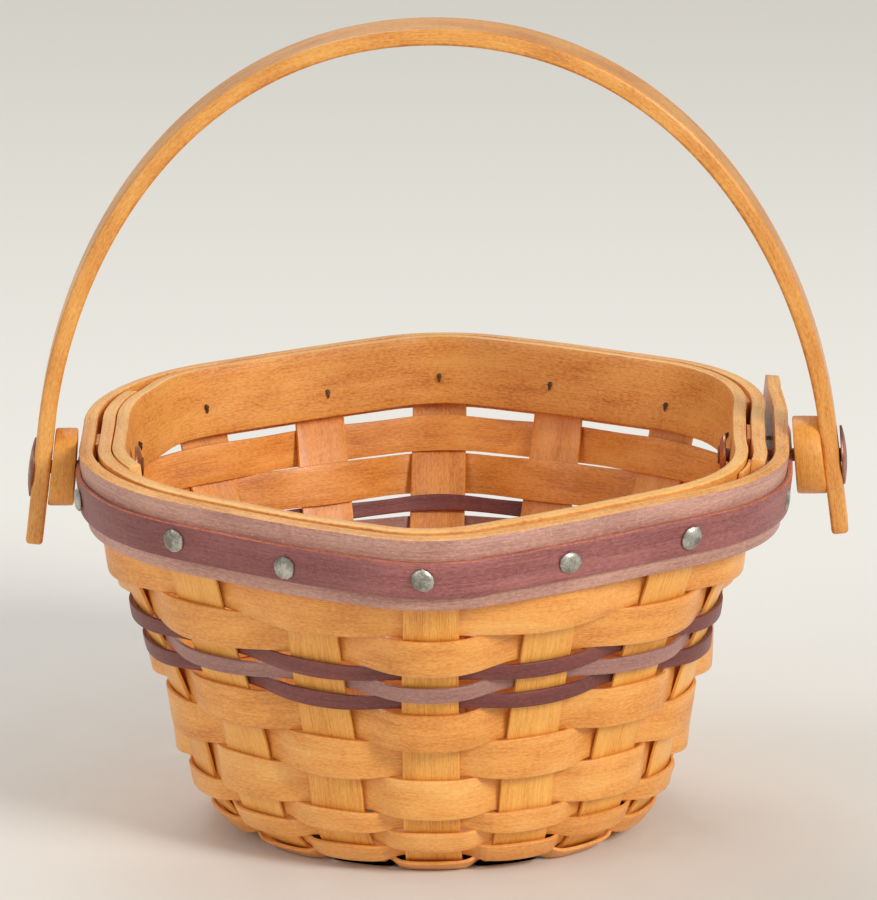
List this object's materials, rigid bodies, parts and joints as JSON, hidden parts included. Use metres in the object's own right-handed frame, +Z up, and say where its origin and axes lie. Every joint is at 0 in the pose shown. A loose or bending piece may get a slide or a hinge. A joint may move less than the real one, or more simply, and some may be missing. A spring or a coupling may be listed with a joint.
{
  "type": "splint basket with swing handle",
  "caption": "Small woven splint basket with a round foot, a hexagonal banded rim and a flat bentwood handle that swings on copper rivets.",
  "frame": {"origin": "middle of the foot, on the surface the basket stands on", "axes": "+Z up; the handle's rivets lie along X; one corner of the hexagonal rim points to -Y, the front"},
  "size_m": [0.1894, 0.1804, 0.1876],
  "materials": {
    "splint_1": "oiled maple splint",
    "splint_2": "oiled maple splint",
    "splint_3": "oiled maple splint",
    "splint_4": "oiled maple splint",
    "splint_5": "oiled maple splint",
    "splint_6": "oiled maple splint",
    "splint_7": "oiled maple splint",
    "splint_8": "oiled maple splint",
    "weaver_row_01": "oiled maple splint",
    "weaver_row_02": "oiled maple splint",
    "weaver_row_03": "plum stained splint",
    "weaver_row_04": "dusty lilac stained splint",
    "weaver_row_05": "plum stained splint",
    "weaver_row_06": "oiled maple splint",
    "weaver_row_07": "oiled maple splint",
    "weaver_row_08": "oiled maple splint",
    "weaver_row_09": "oiled maple splint",
    "weaver_row_10": "oiled maple splint",
    "weaver_row_11": "oiled maple splint",
    "weaver_row_12": "oiled maple splint",
    "base_row_1": "oiled maple splint",
    "base_row_2": "oiled maple splint",
    "base_row_3": "oiled maple splint",
    "base_row_4": "oiled maple splint",
    "outer_band": "dusty lilac stained band, natural edges",
    "inner_band": "oiled maple band",
    "trim_strip": "plum stained splint",
    "tack_01": "dull grey cut tack",
    "tack_02": "dull grey cut tack",
    "tack_03": "dull grey cut tack",
    "tack_04": "dull grey cut tack",
    "tack_05": "dull grey cut tack",
    "tack_06": "dull grey cut tack",
    "tack_07": "dull grey cut tack",
    "tack_08": "dull grey cut tack",
    "tack_09": "dull grey cut tack",
    "tack_10": "dull grey cut tack",
    "tack_11": "dull grey cut tack",
    "tack_12": "dull grey cut tack",
    "tack_13": "dull grey cut tack",
    "tack_14": "dull grey cut tack",
    "rivet_left": "worn copper",
    "rivet_right": "worn copper",
    "spacer_left": "turned maple",
    "spacer_right": "turned maple",
    "burr_left": "worn copper",
    "burr_right": "worn copper",
    "handle": "bent maple, satin"
  },
  "bodies": {
    "basket": {"splint_1": "splint_1", "splint_2": "splint_2", "splint_3": "splint_3", "splint_4": "splint_4", "splint_5": "splint_5", "splint_6": "splint_6", "splint_7": "splint_7", "splint_8": "splint_8", "weaver_row_01": "weaver_row_01", "weaver_row_02": "weaver_row_02", "weaver_row_03": "weaver_row_03", "weaver_row_04": "weaver_row_04", "weaver_row_05": "weaver_row_05", "weaver_row_06": "weaver_row_06", "weaver_row_07": "weaver_row_07", "weaver_row_08": "weaver_row_08", "weaver_row_09": "weaver_row_09", "weaver_row_10": "weaver_row_10", "weaver_row_11": "weaver_row_11", "weaver_row_12": "weaver_row_12", "base_row_1": "base_row_1", "base_row_2": "base_row_2", "base_row_3": "base_row_3", "base_row_4": "base_row_4", "outer_band": "outer_band", "inner_band": "inner_band", "trim_strip": "trim_strip", "tack_01": "tack_01", "tack_02": "tack_02", "tack_03": "tack_03", "tack_04": "tack_04", "tack_05": "tack_05", "tack_06": "tack_06", "tack_07": "tack_07", "tack_08": "tack_08", "tack_09": "tack_09", "tack_10": "tack_10", "tack_11": "tack_11", "tack_12": "tack_12", "tack_13": "tack_13", "tack_14": "tack_14", "rivet_left": "rivet_left", "rivet_right": "rivet_right", "spacer_left": "spacer_left", "spacer_right": "spacer_right", "burr_left": "burr_left", "burr_right": "burr_right"},
    "handle": {"handle": "handle"}
  },
  "joints": [
    {"name": "handle_swing", "type": "hinge", "parent": "basket", "child": "handle", "pos_m": [0, 0, 0.0843], "axis": [1, 0, 0], "range_deg": [-140, 140]}
  ]
}
